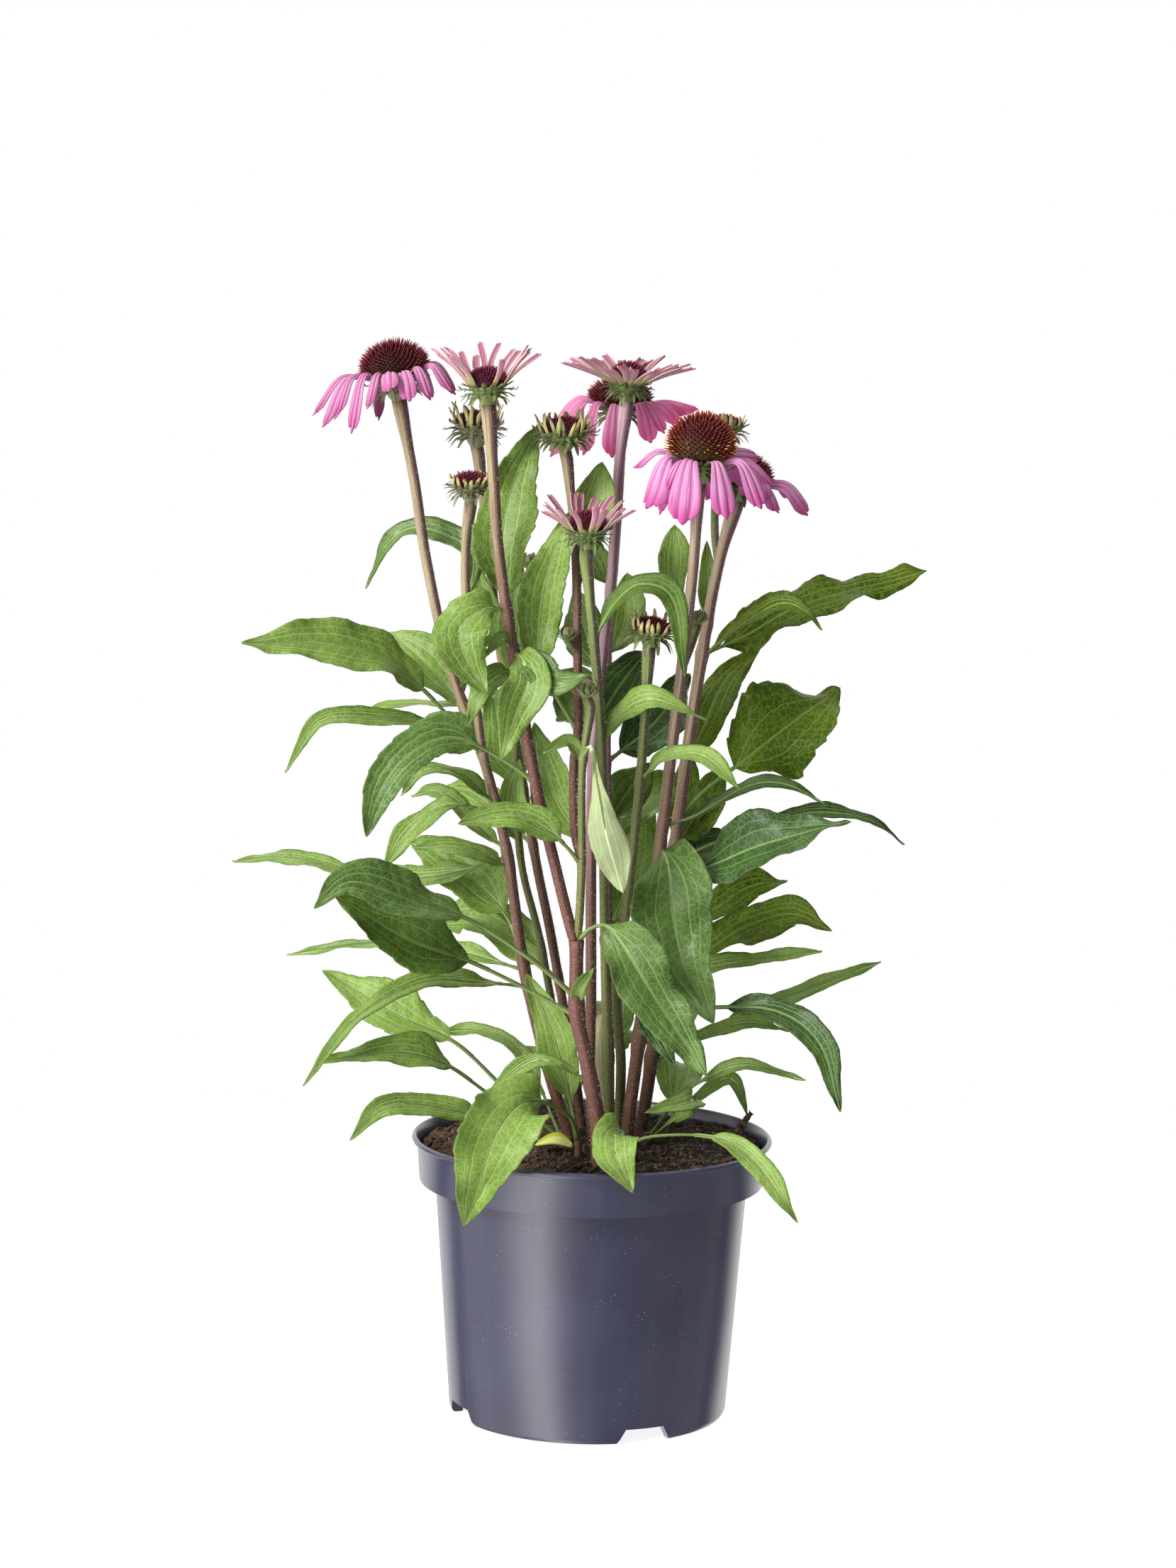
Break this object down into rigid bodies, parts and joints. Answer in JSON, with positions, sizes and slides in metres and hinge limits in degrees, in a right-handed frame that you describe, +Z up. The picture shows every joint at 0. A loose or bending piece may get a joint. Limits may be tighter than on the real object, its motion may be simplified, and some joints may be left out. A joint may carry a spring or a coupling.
{
  "type": "purple coneflower plant",
  "caption": "Purple coneflower plant in a round nursery pot: leafy stems from the soil carry spiny cones with drooping pink petals, opening heads and buds.",
  "frame": {"origin": "on the floor under the middle of the whole plant's extent; the pot's axis stands 11.7 mm to +X of it", "axes": "+Z up along the stems; the front of the plant faces -Y; +X to the right seen from the front"},
  "size_m": [0.3678, 0.2254, 0.5619],
  "materials": {
    "pot": "satin",
    "soil": "matte",
    "dry_stem": "matte",
    "foliage": "matte",
    "petal_pink": "satin",
    "petal_deep": "satin",
    "petal_young": "satin",
    "cone_ripe": "matte",
    "cone_young": "matte",
    "bud": "matte"
  },
  "bodies": {
    "root": {"pot": "pot", "soil": "soil", "stub": "dry_stem", "stem_main": "foliage", "stem_left": "foliage", "stem_c": "foliage", "stem_m": "foliage", "stem_j": "foliage", "stem_f": "foliage", "stem_g": "foliage", "stem_k": "foliage", "stem_h": "foliage", "stem_i": "foliage", "leaves_left": "foliage", "leaves_right": "foliage", "leaves_front": "foliage", "leaves_rim": "foliage", "petals_a": "petal_pink", "petals_g": "petal_pink", "petals_h": "petal_deep", "petals_i": "petal_deep", "petals_b": "petal_young", "petals_f": "petal_young", "petals_j": "petal_young", "cone_a": "cone_ripe", "cone_g": "cone_ripe", "cone_h": "cone_ripe", "cone_i": "cone_ripe", "cone_b": "cone_young", "cone_f": "cone_young", "cone_j": "cone_young", "bud_c": "bud", "bud_d": "bud", "bud_e": "bud", "bud_k": "bud", "bud_o": "bud"}
  },
  "joints": []
}
